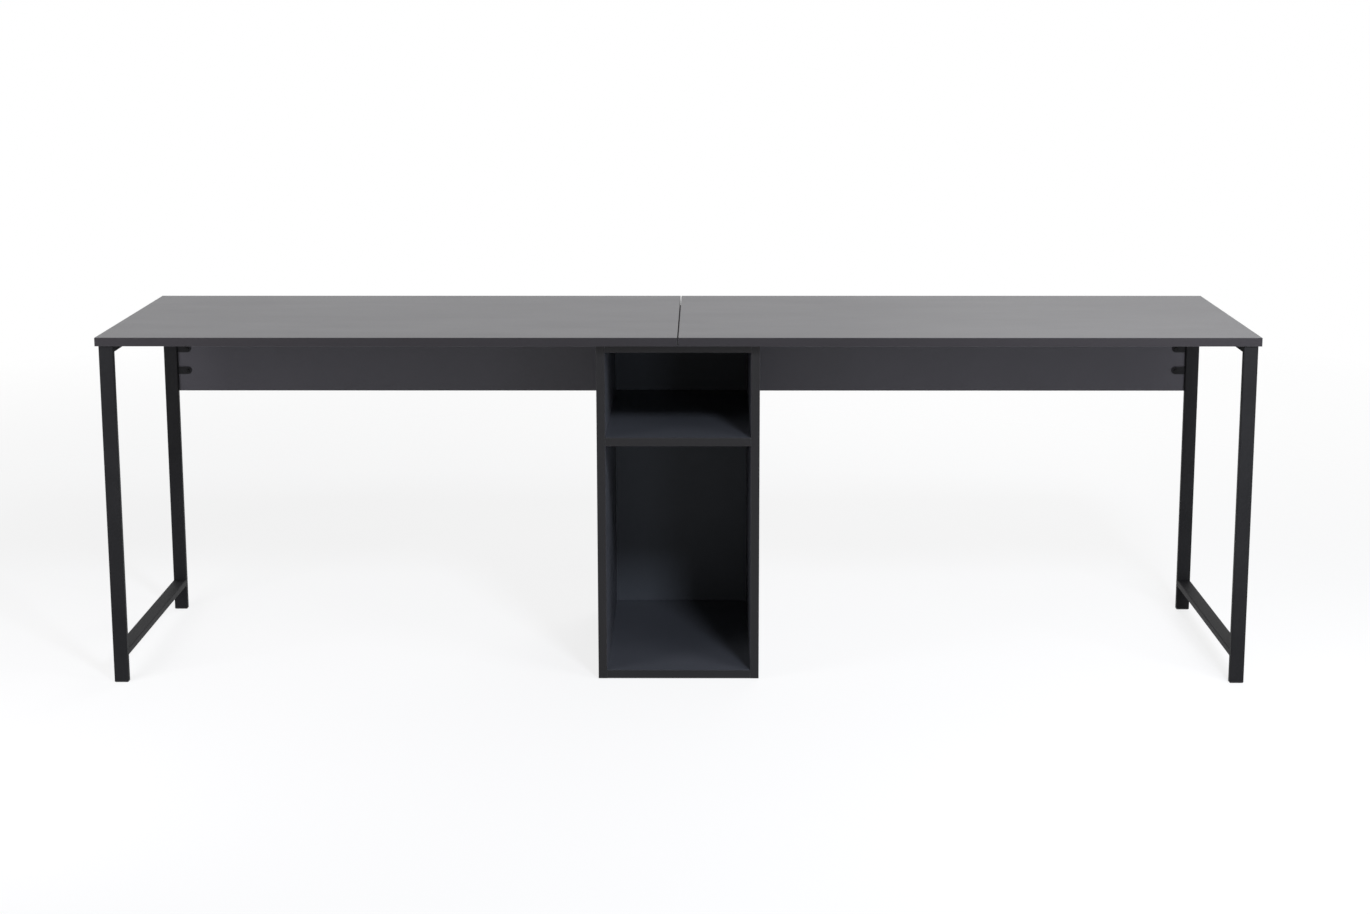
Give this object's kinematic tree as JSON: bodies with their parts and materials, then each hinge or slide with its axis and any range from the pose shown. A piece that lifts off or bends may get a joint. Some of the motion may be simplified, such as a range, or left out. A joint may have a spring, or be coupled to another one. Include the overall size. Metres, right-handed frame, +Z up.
{
  "type": "double desk",
  "caption": "Long shared desk: side-by-side tops over an open middle cabinet with a shelf, slim steel tube end frames and modesty panels at the back.",
  "frame": {"origin": "on the floor under the middle of the desk", "axes": "+X along the desk's length, to the right as seen by someone facing its open front; +Y towards the modesty panels at the back; +Z up"},
  "size_m": [2.4, 0.6, 0.74],
  "materials": {
    "melamine_board": "matt anthracite melamine on chipboard",
    "edge_band": "satin anthracite edge band",
    "hardboard": "anthracite lacquered hardboard",
    "powder_coated_steel": "fine black powder coat",
    "black_plastic": "moulded black plastic",
    "zinc_fittings": "bright zinc",
    "black_screws": "black passivated steel",
    "beech_dowels": "plain beech"
  },
  "bodies": {
    "root": {"cabinet_back_panel": "hardboard", "cabinet_bottom_panel": "melamine_board", "cabinet_bottom_panel_edge_band": "edge_band", "cabinet_glides": "black_plastic", "cabinet_left_side": "melamine_board", "cabinet_left_side_edge_band": "edge_band", "cabinet_right_side": "melamine_board", "cabinet_right_side_edge_band": "edge_band", "cabinet_screws": "black_screws", "cabinet_shelf": "melamine_board", "cabinet_shelf_edge_band": "edge_band", "cabinet_top_panel": "melamine_board", "cabinet_top_panel_edge_band": "edge_band", "cam_bolts": "zinc_fittings", "cam_locks": "zinc_fittings", "left_desktop": "melamine_board", "left_desktop_edge_band": "edge_band", "left_front_foot_cap": "black_plastic", "left_front_leg": "powder_coated_steel", "left_lower_panel_tab": "powder_coated_steel", "left_modesty_panel": "melamine_board", "left_modesty_panel_edge_band": "edge_band", "left_rear_foot_cap": "black_plastic", "left_rear_leg": "powder_coated_steel", "left_stretcher": "powder_coated_steel", "left_top_rail": "powder_coated_steel", "left_upper_panel_tab": "powder_coated_steel", "rail_screws": "black_screws", "right_desktop": "melamine_board", "right_desktop_edge_band": "edge_band", "right_front_foot_cap": "black_plastic", "right_front_leg": "powder_coated_steel", "right_lower_panel_tab": "powder_coated_steel", "right_modesty_panel": "melamine_board", "right_modesty_panel_edge_band": "edge_band", "right_rear_foot_cap": "black_plastic", "right_rear_leg": "powder_coated_steel", "right_stretcher": "powder_coated_steel", "right_top_rail": "powder_coated_steel", "right_upper_panel_tab": "powder_coated_steel", "tab_screws": "black_screws", "wooden_dowels": "beech_dowels"}
  },
  "joints": []
}
